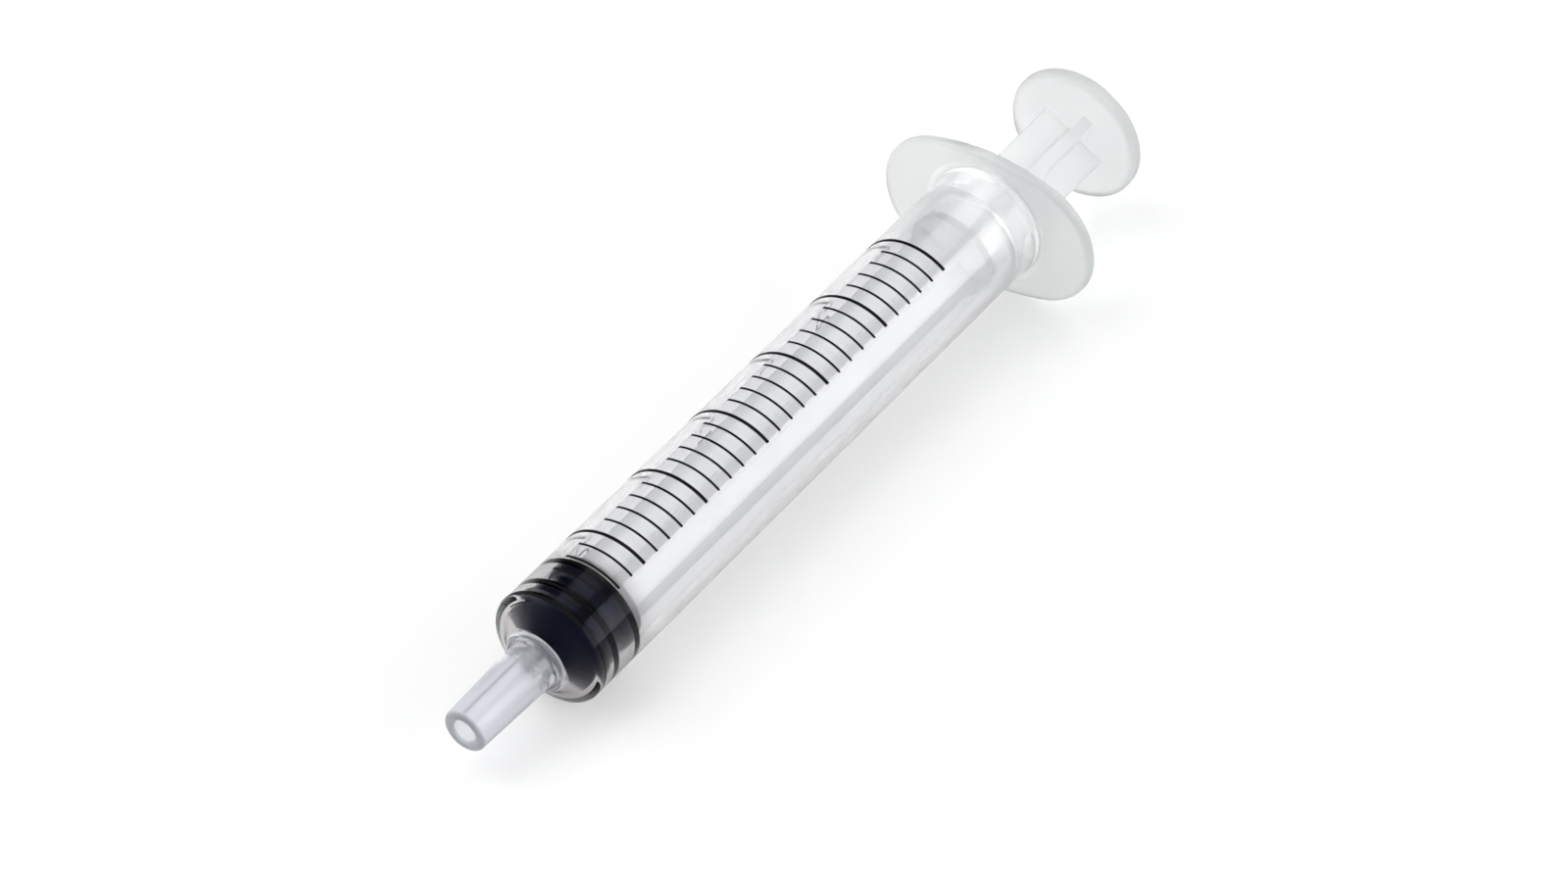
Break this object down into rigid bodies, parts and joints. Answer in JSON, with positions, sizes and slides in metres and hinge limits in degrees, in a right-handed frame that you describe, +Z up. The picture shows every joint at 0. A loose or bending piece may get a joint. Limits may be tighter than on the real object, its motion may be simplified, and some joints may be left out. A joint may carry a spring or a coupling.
{
  "type": "luer slip syringe",
  "caption": "Three-piece disposable syringe: clear barrel with luer slip tip, printed scale and oval finger flange, rubber gasket and cruciform plunger rod.",
  "frame": {"origin": "centre of the fluid bore's mouth, in the end plane of the slip tip", "axes": "+X along the syringe's axis, from the slip tip towards the thumb rest; +Z up, across the narrow way of the finger flange; the two finger wings point along +Y and -Y"},
  "size_m": [0.0878, 0.0212, 0.0144],
  "materials": {
    "clear_barrel": "clear moulded polypropylene, gloss",
    "scale_ink": "black printed ink",
    "gasket_rubber": "smooth moulded black rubber, wetted with silicone oil",
    "rod_plastic": "milky moulded polypropylene, satin"
  },
  "bodies": {
    "barrel": {"barrel": "clear_barrel", "major_marks": "scale_ink", "minor_marks": "scale_ink"},
    "gasket": {"gasket": "gasket_rubber"},
    "plunger": {"plunger_rod": "rod_plastic"}
  },
  "joints": [
    {"name": "plunger_slide", "type": "slide", "parent": "barrel", "child": "gasket", "axis": [1, 0, 0], "range_m": [0, 0.0535]},
    {"name": "plunger_spin", "type": "hinge", "parent": "gasket", "child": "plunger", "pos_m": [0.0155, 0, 0], "axis": [1, 0, 0], "continuous": true}
  ]
}
